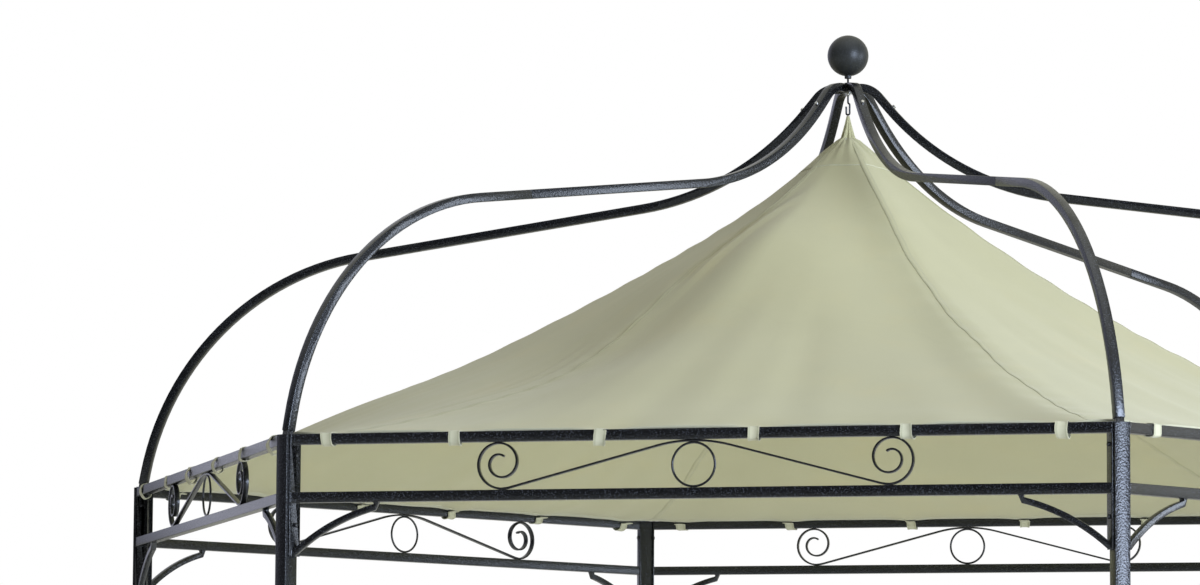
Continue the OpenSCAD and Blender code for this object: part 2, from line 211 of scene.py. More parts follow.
def hammered_group():
    """Dimpled coat with flecks: colour, roughness and height."""
    tree, given, result = group(
        "hammered_coat",
        [("Place", "Vector"), ("Base", "Color"), ("Fleck", "Color"), ("Dimple", "Float"),
         ("Fleck share", "Float")],
        [("Color", "Color"), ("Roughness", "Float"), ("Height", "Float")])
    scale = calc(tree, "DIVIDE", 1.0, given["Dimple"])
    at = given["Place"]
    place = shift(tree, at, speckle(tree, at, 160.0, 1.0, 1), 0.002)
    cells = put(tree, "ShaderNodeTexVoronoi", {"Vector": place, "Scale": scale, "Smoothness": 0.55},
                feature="SMOOTH_F1")
    fine, broad, spark = (speckle(tree, at, *size) for size in ((900.0, 2.0), (7.0, 3.0), (430.0, 0.0)))
    mask = times(tree, steps(tree, spark, 0.62, 0.74), given["Fleck share"])
    toned = blend_colour(tree, steps(tree, broad, 0.35, 0.7), (0.82, 0.82, 0.82, 1),
                         (1.15, 1.15, 1.15, 1))
    base = blend_colour(tree, 1.0, given["Base"], toned, "MULTIPLY")
    feed(tree, result["Color"], blend_colour(tree, mask, base, given["Fleck"]))
    feed(tree, result["Roughness"], spread_to(tree, fine, 0.19, 0.31))
    feed(tree, result["Height"], plus(tree, cells.outputs["Distance"], times(tree, fine, 0.11)))


def weave_group():
    """Plain weave on a UV map in metres: colour, roughness and height."""
    tree, given, result = group(
        "cloth_weave",
        [("Flat", "Vector"), ("Place", "Vector"), ("Base", "Color"), ("Pitch", "Float")],
        [("Color", "Color"), ("Roughness", "Float"), ("Height", "Float")])
    parts = put(tree, "ShaderNodeSeparateXYZ", {0: given["Flat"]})
    turn = calc(tree, "DIVIDE", pi, given["Pitch"])
    across, along = (calc(tree, "SINE", times(tree, parts.outputs[i], turn)) for i in range(2))
    threads = times(tree, across, along)
    at = given["Place"]
    slub = speckle(tree, given["Flat"], 320.0, 2.0)
    soil = put(tree, "ShaderNodeTexNoise", {"Vector": at, "Scale": 2.6, "Detail": 4.0,
                                            "Roughness": 0.62}).outputs[0]
    stain = speckle(tree, at, 11.0, 5.0)
    tone = times(tree, soil, 0.13)
    for mark, weight in ((stain, 0.07), (slub, 0.05), (threads, 0.035)):
        tone = plus(tree, tone, times(tree, mark, weight))
    # Painted crease shade: the colour is darkened along a web of crease lines where the stain noise is
    # high
    moved = shift(tree, at, speckle(tree, at, 3.0, 2.0, 1), 0.18)
    web = put(tree, "ShaderNodeTexVoronoi", {"Vector": moved, "Scale": 3.2}, feature="DISTANCE_TO_EDGE")
    painted_crease_shade = minus(tree, 1.0, steps(tree, web.outputs["Distance"], 0.0, 0.018))
    painted_crease_shade = times(tree, painted_crease_shade, steps(tree, stain, 0.45, 0.65))
    share = plus(tree, minus(tree, tone, times(tree, painted_crease_shade, 0.022)), 0.875)
    shade = put(tree, "ShaderNodeCombineXYZ", {0: share, 1: share, 2: share})
    toned = blend_colour(tree, 1.0, given["Base"], shade.outputs[0], "MULTIPLY")
    warm = blend_colour(tree, steps(tree, soil, 0.5, 0.75), (1, 1, 1, 1), (1.02, 0.985, 0.92, 1))
    feed(tree, result["Color"], blend_colour(tree, 1.0, toned, warm, "MULTIPLY"))
    feed(tree, result["Roughness"], spread_to(tree, stain, 0.72, 0.9))
    feed(tree, result["Height"], plus(tree, times(tree, threads, 0.5), slub))


def stitch_group():
    """Two rows of stitches along a strip whose U is the distance from its middle, with a groove mask
    beside them that sets their depth and their painted shade.
    """
    tree, given, result = group(
        "stitch_rows", [("Flat", "Vector"), ("Offset", "Float"), ("Pitch", "Float")],
        [("Mask", "Float"), ("Groove and painted shade", "Float")])
    parts = put(tree, "ShaderNodeSeparateXYZ", {0: given["Flat"]})
    side = calc(tree, "ABSOLUTE", parts.outputs[0])
    away = calc(tree, "ABSOLUTE", minus(tree, side, given["Offset"]))
    row = minus(tree, 1.0, steps(tree, away, 0.0003, 0.0008))
    beat = calc(tree, "FRACT", calc(tree, "DIVIDE", parts.outputs[1], given["Pitch"]))
    dash = times(tree, steps(tree, beat, 0.06, 0.16), minus(tree, 1.0, steps(tree, beat, 0.7, 0.8)))
    feed(tree, result["Mask"], times(tree, row, dash))
    feed(tree, result["Groove and painted shade"], minus(tree, 1.0, steps(tree, away, 0.0008, 0.0022)))


def dust_group():
    """Pale dust on what faces up."""
    tree, given, result = group(
        "settled_dust", [("Place", "Vector"), ("Base", "Color"), ("Amount", "Float")],
        [("Color", "Color")])
    up = put(tree, "ShaderNodeSeparateXYZ", {0: put(tree, "ShaderNodeNewGeometry").outputs["Normal"]})
    patch = speckle(tree, given["Place"], 23.0, 5.0)
    mask = times(tree, steps(tree, up.outputs[2], 0.3, 0.95), steps(tree, patch, 0.3, 0.75))
    mask = times(tree, mask, given["Amount"])
    feed(tree, result["Color"], blend_colour(tree, mask, given["Base"], (0.42, 0.41, 0.38, 1)))


def material(name):
    """The frame's own plain materials hold the bare names, so these end in _look."""
    made = bpy.data.materials.new(name + "_look")
    made.use_nodes = True
    tree = made.node_tree
    return tree, tree.nodes["Principled BSDF"]


def fill(tree, shader, sockets):
    for name, value in sockets.items():
        feed(tree, shader.inputs[name], value)


def effect(tree, name, sockets):
    return put(tree, "ShaderNodeGroup", sockets, node_tree=bpy.data.node_groups[name]).outputs


def coat(name, base, fleck, dimple, share, depth, dust, metal=0.0, shine=0.70, dull=1.0):
    tree, shader = material(name)
    place = put(tree, "ShaderNodeTexCoord").outputs["Object"]
    look = effect(tree, "hammered_coat", {"Place": place, "Base": (*base, 1), "Fleck": (*fleck, 1),
                                          "Dimple": dimple, "Fleck share": share})
    dusty = effect(tree, "settled_dust", {"Place": place, "Base": look["Color"], "Amount": dust})
    bump = put(tree, "ShaderNodeBump", {"Strength": 0.55, "Distance": depth, "Height": look["Height"]})
    fill(tree, shader, {"Base Color": dusty["Color"], "Roughness": times(tree, look["Roughness"], dull),
                        "Normal": bump.outputs[0]})
    shader.inputs["Metallic"].default_value = metal
    shader.inputs["Specular IOR Level"].default_value = shine
    shader.inputs["Specular Tint"].default_value = (0.82, 0.88, 1.0, 1)


def cloth(name, base, stitches=None, lift=1.0):
    """Woven cloth; stitches is (row offset, pitch) for a sewn strip."""
    tree, shader = material(name)
    where = put(tree, "ShaderNodeTexCoord")
    flat = put(tree, "ShaderNodeUVMap", uv_map="Flat").outputs[0]
    look = effect(tree, "cloth_weave", {"Flat": flat, "Place": where.outputs["Object"],
                                        "Base": (*[c * lift for c in base], 1),
                                        "Pitch": sizes().weave})
    tone, height = look["Color"], times(tree, look["Height"], 0.25)
    if stitches:
        sewn = effect(tree, "stitch_rows", {"Flat": flat, "Offset": stitches[0], "Pitch": stitches[1]})
        # Darker colour in the stitch grooves: painted shade at the seam's step
        tone = blend_colour(tree, times(tree, sewn["Groove and painted shade"], 0.35), tone, (0.17, 0.17, 0.11, 1))
        tone = blend_colour(tree, sewn["Mask"], tone, (*finishes().thread, 1))
        height = plus(tree, height, minus(tree, times(tree, sewn["Mask"], 2.2), sewn["Groove and painted shade"]))
    bump = put(tree, "ShaderNodeBump", {"Strength": 0.4, "Distance": 0.0004, "Height": height})
    fill(tree, shader, {"Base Color": tone, "Roughness": look["Roughness"], "Normal": bump.outputs[0]})
    shader.inputs["Sheen Weight"].default_value = 0.25
    shader.inputs["Sheen Roughness"].default_value = 0.5
    shader.inputs["Specular IOR Level"].default_value = 0.25


def build_materials():
    hammered_group(), weave_group(), stitch_group(), dust_group()
    look, size = finishes(), sizes()
    coat("frame_coat", look.frame_coat, look.fleck, size.dimple, 0.24, 0.00060, 0.05)
    coat("scroll_coat", look.scroll_coat, look.fleck, 0.0018, 0.06, 0.00012, 0.06)
    coat("ball_coat", look.ball_coat, look.fleck, 0.0021, 0.10, 0.00020, 0.05, shine=0.35, dull=1.5)
    coat("zinc", look.zinc, (0.8, 0.8, 0.8), 0.0016, 0.5, 0.00005, 0.02, metal=1.0)
    cloth("canopy_cloth", look.cloth)
    cloth("seam_cloth", look.cloth, (size.seam * 0.34, 0.0042), 0.94)
    cloth("hem_cloth", look.tape, (0.0085, 0.0042))
    cloth("tab_cloth", look.tape, (size.tab / 2 - 0.003, 0.0036))


# ---------------------------------------------------------------- modelling helpers

def only(*pieces):
    if bpy.context.mode != "OBJECT":
        bpy.ops.object.mode_set(mode="OBJECT")
    bpy.ops.object.select_all(action="DESELECT")
    for piece in pieces:
        piece.select_set(True)
    bpy.context.view_layer.objects.active = pieces[0]


def edit(piece, action="SELECT"):
    """Opens one piece for editing with all or none of it selected."""
    only(piece)
    bpy.ops.object.mode_set(mode="EDIT")
    bpy.ops.mesh.select_all(action=action)


def leave():
    bpy.ops.object.mode_set(mode="OBJECT")


def modify(piece, kind, **fields):
    only(piece)
    made = piece.modifiers.new(kind.lower(), kind)
    for field, value in fields.items():
        setattr(made, field, value)
    bpy.ops.object.modifier_apply(modifier=made.name)


def smooth(piece, angle=32):
    only(piece)
    bpy.ops.object.shade_smooth_by_angle(angle=radians(angle))


def outwards(piece):
    edit(piece)
    bpy.ops.mesh.remove_doubles(threshold=0.000005)
    bpy.ops.mesh.normals_make_consistent(inside=False)
    leave()


def link(piece):
    bpy.context.scene.collection.objects.link(piece)
    return piece


def settle(piece, name, finish, slot, *nodes):
    """Names a finished piece, gives it its finish and hands it to the frame."""
    piece.name = piece.data.name = name
    piece.data.materials.clear()
    piece.data.materials.append(bpy.data.materials[finish + "_look"])
    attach(piece, "root")
    if nodes:
        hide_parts(*nodes)
    return piece


def freed(piece):
    """The piece without its original's parent and marks."""
    for key in list(piece.keys()):
        if key.startswith("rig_"):
            del piece[key]
    piece.parent = None
    return piece


def sixfold(master, names, label, finish, slot, node=""):
    """Six copies with meshes of their own, turned about the gazebo's axis; the master goes."""
    for k, name in enumerate(names):
        copy = master.copy()
        copy.data = master.data.copy()
        link(freed(copy)).data.transform(Matrix.Rotation(radians(60 * k), 4, "Z"))
        settle(copy, label.format(name), finish, slot, *([node + name] if node else []))
    bpy.data.objects.remove(master)


def rounded_copy(node, width):
    """A merged copy of a CAD node with its edges rounded."""
    only(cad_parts[node])
    bpy.ops.object.duplicate()
    piece = freed(bpy.context.view_layer.objects.active)
    edit(piece)
    bpy.ops.mesh.customdata_custom_splitnormals_clear()
    bpy.ops.mesh.remove_doubles(threshold=0.000003)
    bpy.ops.mesh.dissolve_limited(angle_limit=radians(0.4))
    leave()
    modify(piece, "BEVEL", width=width, segments=2, limit_method="ANGLE",
           angle_limit=radians(35), use_clamp_overlap=False)
    smooth(piece, 30)
    return piece


def mesh_piece(name, points, faces, flat=None):
    mesh = bpy.data.meshes.new(name)
    mesh.from_pydata([tuple(p) for p in points], [], faces)
    if flat:
        layer = mesh.uv_layers.new(name="Flat")
        layer.data.foreach_set("uv", [c for face in flat for corner in face for c in corner])
    mesh.update()
    return link(bpy.data.objects.new(name, mesh))


def swept(name, rings, across, along, loop=False):
    """Skin over rings of points; across and along give the cloth's flat place in metres."""
    wide, count = len(rings[0]), len(rings)
    points = [p for ring in rings for p in ring]
    faces, flat = [], []
    for i in range(count if loop else count - 1):
        n = (i + 1) % count
        end = along[i + 1] if i + 1 < len(along) else along[i] * 2 - along[i - 1]
        for j in range(wide):
            m = (j + 1) % wide
            faces.append((i * wide + j, i * wide + m, n * wide + m, n * wide + j))
            flat.append(((across[j], along[i]), (across[m], along[i]), (across[m], end),
                         (across[j], end)))
    if not loop:
        for row in (0, count - 1):
            faces.append(tuple(row * wide + j for j in range(wide)))
            flat.append(tuple((across[j], along[0 if row == 0 else -1]) for j in range(wide)))
    piece = mesh_piece(name, points, faces, flat)
    outwards(piece)
    return piece


def repeated(master, places, name):
    """One mesh that holds a copy of the master at each place."""
    made = bmesh.new()
    for place in places:
        part = master.data.copy()
        part.transform(place)
        made.from_mesh(part)
        bpy.data.meshes.remove(part)
    mesh = bpy.data.meshes.new(name)
    made.to_mesh(mesh)
    made.free()
    return link(bpy.data.objects.new(name, mesh))


def joined(pieces):
    only(*pieces)
    bpy.ops.object.join()
    return bpy.context.view_layer.objects.active


def ease(value, low, high):
    share = min(1.0, max(0.0, (value - low) / (high - low)))
    return share * share * (3 - 2 * share)


def bell(value, width):
    return math.exp(-(value / width) ** 2)


def net(rows, columns):
    """The faces of a closed net of points, row by row."""
    for i in range(rows):
        for j in range(columns):
            n = (j + 1) % columns
            yield (i * columns + j, (i + 1) * columns + j, (i + 1) * columns + n, i * columns + n)


def skin(name, points, faces, flat, thickness):
    """A sheet with its thickness laid on the under side."""
    piece = mesh_piece(name, points, faces, flat)
    if sum(p.normal.z for p in piece.data.polygons) < 0:
        piece.data.flip_normals()
    modify(piece, "SOLIDIFY", thickness=thickness, offset=-1.0)
    only(piece)
    bpy.ops.object.shade_smooth()
    return piece


# ---------------------------------------------------------------- canopy surface

HALF_SIDE = CORNER_R / 2
CORNER_TRIM = 0.060
EYE = 0.0155
HOLLOW = 1.6
APEX = POINT_LOW - 0.009
# How far each corner seam stands above the even shape, at these shares of the way down
LEVELS = [0.0, 0.12, 0.3, 0.5, 0.7, 0.88, 1.0]
FULLNESS = [
    [0, -0.020, -0.033, -0.033, -0.018, -0.006, 0],
    [0, -0.012, -0.014, -0.008, 0.006, 0.008, 0],
    [0, -0.010, -0.004, 0.008, 0.020, 0.012, 0],
    [0, -0.006, 0.021, 0.049, 0.074, 0.040, 0],
    [0, -0.010, -0.005, -0.042, -0.015, 0.003, 0],
    [0, -0.006, -0.026, -0.008, 0.012, 0.013, 0],
]
SLACK = [0.35, 0.3, 0.5, 1.0, 0.25, 0.4]
TAB_SLACK = [0.8, 0.7, 1.0, 2.4, 1.6, 1.4]
# How far the front's tabs have slipped along their rail
FRONT_SLIP = [-0.008, -0.040, -0.039, -0.028, -0.023, -0.016]


def tab_places(side):
    """Where the tabs stand along a side, from its middle."""
    reach = RAIL_Y * tan(HALF_ANGLE) - PLATE_FACE / cos(HALF_ANGLE) - TAB_FIRST
    slips = FRONT_SLIP if side == 4 else [0.006 * sin(3.1 * i + 1.7 * side) for i in range(6)]
    return [-reach + 2 * reach * i / 5 + slip for i, slip in enumerate(slips)]


TABS = [tab_places(side) for side in range(6)]


def fullness(corner, t):
    """Smooth curve through a corner's levels."""
    row = FULLNESS[corner]
    i = max(n for n in range(len(LEVELS) - 1) if LEVELS[n] <= max(0.0, min(t, 0.9999)))
    span = LEVELS[i + 1] - LEVELS[i]

    def slope(n):
        if n in (0, len(LEVELS) - 1):
            return 0.0
        return (row[n + 1] - row[n - 1]) / (LEVELS[n + 1] - LEVELS[n - 1])

    u = (t - LEVELS[i]) / span
    return ((1 + 2 * u) * (1 - u) ** 2 * row[i] + u * (1 - u) ** 2 * span * slope(i)
            + u * u * (3 - 2 * u) * row[i + 1] + u * u * (u - 1) * span * slope(i + 1))


def on_base(s, t):
    """Point of the even canopy: s counts corners round it, t runs from the point to the hem."""
    side = math.floor(s)
    q = 2 * (s - side) - 1
    along = q * HALF_SIDE
    out = HEM_Y
    over = abs(along) - (HALF_SIDE - CORNER_TRIM)
    if over > 0:
        out += (CORNER_R * cos(HALF_ANGLE) - HEM_Y) * over / CORNER_TRIM
    grow = EYE / CORNER_R + (1 - EYE / CORNER_R) * t
    x, y = out * grow, along * grow
    corner = CORNER_R * grow
    ring = math.hypot(x, y)
    rounding = 0.10 * sin(pi * t) + (1 - ease(t, 0.0, 0.10))
    share = 1 + min(1.0, rounding) * (corner / ring - 1)
    mid = radians(60 * side + 30)
    x, y = x * share, y * share
    nearest = abs(along - min(TABS[side % 6], key=lambda p: abs(p - along)))
    lift = (0.0030 if side % 6 < 3 else 0.0065) * (1 - bell(nearest, 0.045)) * ease(t, 0.955, 1.0)
    turn = s % 6
    k = int(turn) % 6
    f = ease(turn - int(turn), 0, 1)
    full = fullness(k, t) * (1 - f) + fullness((k + 1) % 6, t) * f
    z = EAVES - HEM_DROP + (APEX - EAVES + HEM_DROP) * (1 - t) ** HOLLOW
    corner_lift = 0.002 * ease(abs(along), HALF_SIDE - 0.16, HALF_SIDE) * ease(t, 0.93, 1.0)
    z += full + lift + corner_lift
    x -= 0.35 * lift
    return Vector((x * cos(mid) - y * sin(mid), x * sin(mid) + y * cos(mid), z))


def base_normal(s, t):
    near = 0.003
    a = on_base(s + near, t) - on_base(s - near, t)
    low, high = max(0.0, t - near), min(1.0, t + near)
    b = on_base(s, high) - on_base(s, low)
    found = b.cross(a)
    if found.z < 0:
        found = -found
    return found.normalized()


def fold(s, t):
    """How far the cloth's folds stand off the even canopy."""
    turn = radians(60 * s)
    side = math.floor(s)
    q = 2 * (s - side) - 1
    reach = CORNER_R * t
    seam = (1 - abs(q)) * HALF_SIDE * max(t, 0.02)
    corner, side = round(s) % 6, side % 6
    slack = SLACK[side]

    def billow(size, far, off=0.0):
        return noise.noise(Vector((cos(turn) * size, sin(turn) * size, far * t + off)))

    # broad waves, then puckers along the seams and streaks between them
    height = 0.012 * billow(1.9, 2.4) * sin(pi * min(1, t * 1.05))
    height += 0.005 * billow(5.5, 3.1, 7) * ease(t, 0.1, 0.5)
    ripple = sin(2 * pi * reach / 0.085 + 1.9 * corner + 1.5 * sin(reach * 9 + corner))
    height += 0.0011 * ripple * bell(seam, 0.035) * ease(t, 0.05, 0.2)
    height -= 0.0025 * bell(seam, 0.02) * ease(t, 0.1, 0.3)
    height += 0.006 * billow(15, 0.8, 11) * ease(t, 0.25, 0.8) * (0.45 + slack) * (1 - bell(seam, 0.10))
    if side == 4:
        bulge = ease(q, -1.0, -0.30) * (1 - ease(q, -0.30, 1.0))
        height += 0.075 * bulge * sin(pi * t ** 0.8) * ease(t, 0, 0.3)
    if corner == 4:
        lines = sin(2 * pi * (seam / 0.085 + 0.4 * sin(2.2 * reach)) + 0.6) * (1 if side == 3 else 0.35)
        height += 0.0034 * lines * bell(seam - 0.11, 0.10) * ease(t, 0.35, 0.65) * (1 - ease(t, 0.9, 1.0))
        if side == 4:
            ridge = bell(seam - 0.045, 0.022) * ease(t, 0.10, 0.2) * (1 - ease(t, 0.28, 0.42))
            height += 0.011 * ridge
    # pulls from the tabs, and pleats round the point
    for i, place in enumerate(TABS[side]):
        gap = q * HALF_SIDE * t - place - 0.05 * sin(i * 2.3 + math.floor(s)) * (1 - t) * 6
        height -= 0.0040 * bell(gap, 0.030) * ease(t, 0.90, 0.99) * (0.5 + slack)
        height += 0.0022 * bell(abs(gap) - 0.055, 0.022) * ease(t, 0.86, 0.98) * (0.6 + slack)
    pleats = 0.5 + 0.5 * sin(19 * turn + 2 * sin(3 * turn))
    height += 0.0022 * (pleats - 0.5) * bell(t - 0.02, 0.035)
    return height * (1 - ease(t, 0.985, 1.0) * 0.8)


def on_canopy(s, t, lift=0.0):
    return on_base(s, t) + base_normal(s, t) * (fold(s, t) + lift)


def slant(s, t):
    """Length of the cloth from the point to t along one line."""
    count = 12
    spots = [on_base(s, t * i / count) for i in range(count + 1)]
    return sum((b - a).length for a, b in zip(spots, spots[1:]))


# ---------------------------------------------------------------- operators

class GAZEBO_OT_stage(bpy.types.Operator):
    """Make the floor, the lights, the surroundings and the camera"""
    bl_idname = "gazebo.stage"
    bl_label = "Stage"

    def execute(self, context):
        scene = context.scene
        scene.view_settings.view_transform = "Standard"
        self.floor()
        self.lamp("key", (7.4, -6.6, 3.2), (0, 0, 2.2), (4.2, 5.4), 415, (0.80, 0.88, 1.0), 110)
        self.lamp("side", (7.1, 0.3, 2.7), (0, -0.9, 2.1), (2.6, 2.6), 150, (0.86, 0.92, 1.0))
        self.lamp("top", (1.5, -2.5, 8.5), (0, 0, 2.4), (6.0, 6.0), 60, (1.0, 1.0, 1.0))
        self.lamp("bounce", (0, 0, 0.03), (0, 0, 3), (3.0, 3.0), 18, (1.0, 1.0, 0.84))
        self.surroundings(scene)
        lens = bpy.data.cameras.new("camera")
        lens.sensor_width, lens.lens = 36, LENS
        lens.clip_start, lens.clip_end = 0.1, 400
        camera = link(bpy.data.objects.new("camera", lens))
        turn, pitch, roll = CAMERA_TURNS
        ahead = Vector((-sin(turn) * cos(pitch), cos(turn) * cos(pitch), sin(pitch)))
        right = Vector((cos(turn), sin(turn), 0))
        up = right.cross(ahead)
        right, up = right * cos(roll) + up * sin(roll), up * cos(roll) - right * sin(roll)
        place = Matrix((right, up, -ahead)).transposed().to_4x4()
        place.translation = CAMERA_PLACE
        camera.matrix_world = place
        scene.camera = camera
        return {"FINISHED"}

    def floor(self):
        bpy.ops.object.select_all(action="DESELECT")
        bpy.ops.mesh.primitive_circle_add(vertices=96, radius=60, fill_type="NGON")
        ground = bpy.context.active_object
        ground.name = "floor"
        tree, shader = material("floor")
        place = put(tree, "ShaderNodeTexCoord").outputs["Object"]
        base = [*finishes().floor, 1]
        pale = blend_colour(tree, steps(tree, speckle(tree, place, 0.8, 3.0), 0.3, 0.7), base,
                            [c * 1.02 for c in base[:3]] + [1])
        feed(tree, shader.inputs["Base Color"], pale)
        shader.inputs["Roughness"].default_value = 0.85
        ground.data.materials.append(bpy.data.materials["floor_look"])

    def lamp(self, name, place, aim, size, power, tint, spread=180):
        light = bpy.data.lights.new(name, "AREA")
        light.shape = "RECTANGLE"
        light.size, light.size_y = size
        light.energy, light.color, light.spread = power, tint, radians(spread)
        piece = link(bpy.data.objects.new(name, light))
        piece.location = place
        way = Vector(aim) - Vector(place)
        piece.rotation_euler = way.to_track_quat("-Z", "Y").to_euler()
        piece.visible_camera = False

    def surroundings(self, scene):
        """A pale room, darker towards the camera's side, with a white backdrop."""
        world = bpy.data.worlds.new("surroundings")
        scene.world = world
        world.use_nodes = True
        tree = world.node_tree
        tree.nodes.clear()
        way = put(tree, "ShaderNodeSeparateXYZ",
                  {0: put(tree, "ShaderNodeTexCoord").outputs["Generated"]})
        behind = steps(tree, way.outputs[1], -0.35, 0.75)
        above = steps(tree, way.outputs[2], 0.25, 0.85)
        level = calc(tree, "MAXIMUM", behind, above)
        level = plus(tree, times(tree, level, 0.67), 0.03)
        left = minus(tree, 1.0, steps(tree, way.outputs[0], -0.5, -0.1))
        cool = times(tree, left, minus(tree, 1.0, above))
        tint = blend_colour(tree, cool, (1.0, 0.99, 0.83, 1), (1.04, 1.06, 1.27, 1))
        room = put(tree, "ShaderNodeBackground", {"Color": tint, "Strength": level})
        white = put(tree, "ShaderNodeBackground", {"Color": (1, 1, 1, 1), "Strength": 1.0})
        seen = put(tree, "ShaderNodeLightPath").outputs["Is Camera Ray"]
        both = put(tree, "ShaderNodeMixShader", {0: seen, 1: room.outputs[0], 2: white.outputs[0]})
        put(tree, "ShaderNodeOutputWorld", {"Surface": both.outputs[0]})


class GAZEBO_OT_frame(bpy.types.Operator):
    """Round the edges of the posts, side frames, ribs and hub, and coat them"""
    bl_idname = "gazebo.frame"
    bl_label = "Coated frame"

    def execute(self, context):
        edge = sizes().edge_round
        for stem, names in (("post_", CORNERS), ("side_frame_", SIDES), ("lower_rib_", CORNERS),
                            ("upper_rib_", CORNERS)):
            sixfold(rounded_copy(stem + names[0], edge), names, stem + "{}.coated", "frame_coat",
                    "frame_coat", stem)
        settle(rounded_copy("crown_hub", 0.0008), "crown_hub.coated", "frame_coat", "frame_coat",
               "crown_hub")
        return {"FINISHED"}


class GAZEBO_OT_scrollwork(bpy.types.Operator):
    """Round the edges of the scroll bars and rings, and coat them"""
    bl_idname = "gazebo.scrollwork"
    bl_label = "Scrollwork"

    def execute(self, context):
        master = rounded_copy("scrollwork_back_right", 0.0006)
        sixfold(master, SIDES, "scrollwork_{}.coated", "scroll_coat", "scroll_coat", "scrollwork_")
        return {"FINISHED"}


class GAZEBO_OT_welds(bpy.types.Operator):
    """Lay a weld bead round each rail end"""
    bl_idname = "gazebo.welds"
    bl_label = "Weld beads"

    def execute(self, context):
        master = joined([self.bead(top, hand) for top in (EAVES, EAVES - RAIL_PITCH)
                         for hand in (-1, 1)])
        smooth(master, 60)
        sixfold(master, SIDES, "weld_beads_{}", "frame_coat", "frame_coat")
        return {"FINISHED"}

    def bead(self, top, hand):
        """A rippled bead round one rail end on side 0."""
        def end(out):
            return hand * (out * tan(HALF_ANGLE) - PLATE_FACE / cos(HALF_ANGLE))

        near, far = RAIL_Y - RAIL_W / 2, RAIL_Y + RAIL_W / 2
        inset = 0.0006
        near, far, high, low = near + inset, far - inset, top - inset, top - RAIL_W + inset
        corners = [Vector((out, end(out), z))
                   for out, z in ((near, high), (far, high), (far, low), (near, low))]
        plate = (corners[1] - corners[0]).normalized()
        spots = []
        for a, b in zip(corners, corners[1:] + corners[:1]):
            count = round((b - a).length / 0.002)
            spots += [a.lerp(b, i / count) for i in range(count)]
        middle = sum(corners, Vector()) / 4
        away = plate.cross(Vector((0, 0, 1)))
        rings = []
        for i, spot in enumerate(spots):
            out = (spot - middle).normalized()
            r = 0.0016 + 0.0003 * sin(i * 2.4) + 0.0002 * sin(i * 0.9 + hand)
            rings.append([spot + out * (r * cos(a)) + away * (r * sin(a))
                          for a in (pi * j / 4 for j in range(8))])
        piece = swept("bead", rings, [0] * 8, [0] * len(rings), loop=True)
        piece.data.transform(Matrix.Rotation(HALF_ANGLE, 4, "Z"))
        return piece


class GAZEBO_OT_screws(bpy.types.Operator):
    """Put the screws in the end plates and near the top of the ribs"""
    bl_idname = "gazebo.screws"
    bl_label = "Screws"

    def execute(self, context):
        head = self.button(sizes().screw)
        places = []
        for depth in (0.044, 0.188):
            for hand in (-1, 1):
                spot = Matrix.Translation((PLATE_MID, hand * PLATE_FACE, EAVES - depth))
                places.append(spot @ Matrix.Rotation(-hand * pi / 2, 4, "X"))
        plates = repeated(head, places, "plate_screws")
        smooth(plates, 35)
        sixfold(plates, CORNERS, "plate_screws_{}", "scroll_coat", "frame_coat")
        rib = bpy.data.objects["upper_rib_right.coated"]
        context.view_layer.update()
        hit, spot, normal, _ = rib.ray_cast(Vector((0.108, 0, 4)), Vector((0, 0, -1)))
        if not hit:
            raise RuntimeError("the rib's upper face was not found")
        turn = normal.to_track_quat("Z", "Y").to_matrix().to_4x4()
        crown = repeated(head, [Matrix.Translation(spot) @ turn], "crown_screw")
        smooth(crown, 35)
        sixfold(crown, CORNERS, "crown_screw_{}", "zinc", "zinc")
        bpy.data.objects.remove(head)
        return {"FINISHED"}

    def button(self, width):
        """A button head with a socket, standing on z = 0."""
        bpy.ops.object.select_all(action="DESELECT")
        bpy.ops.mesh.primitive_cylinder_add(vertices=24, radius=width / 2, depth=width * 0.5,
                                            location=(0, 0, width * 0.25))
        piece = bpy.context.active_object
        bpy.ops.object.transform_apply(location=True)
        edit(piece, "DESELECT")
        leave()
        for face in piece.data.polygons:
            face.select = face.normal.z > 0.9
        bpy.ops.object.mode_set(mode="EDIT")
        bpy.ops.mesh.select_mode(type="FACE")
        bpy.ops.mesh.bevel(offset=width * 0.2, segments=4, affect="EDGES")
        bpy.ops.mesh.inset(thickness=width * 0.12)
        bpy.ops.mesh.extrude_region_move(TRANSFORM_OT_translate={"value": (0, 0, -width * 0.22)})
        leave()
        return piece


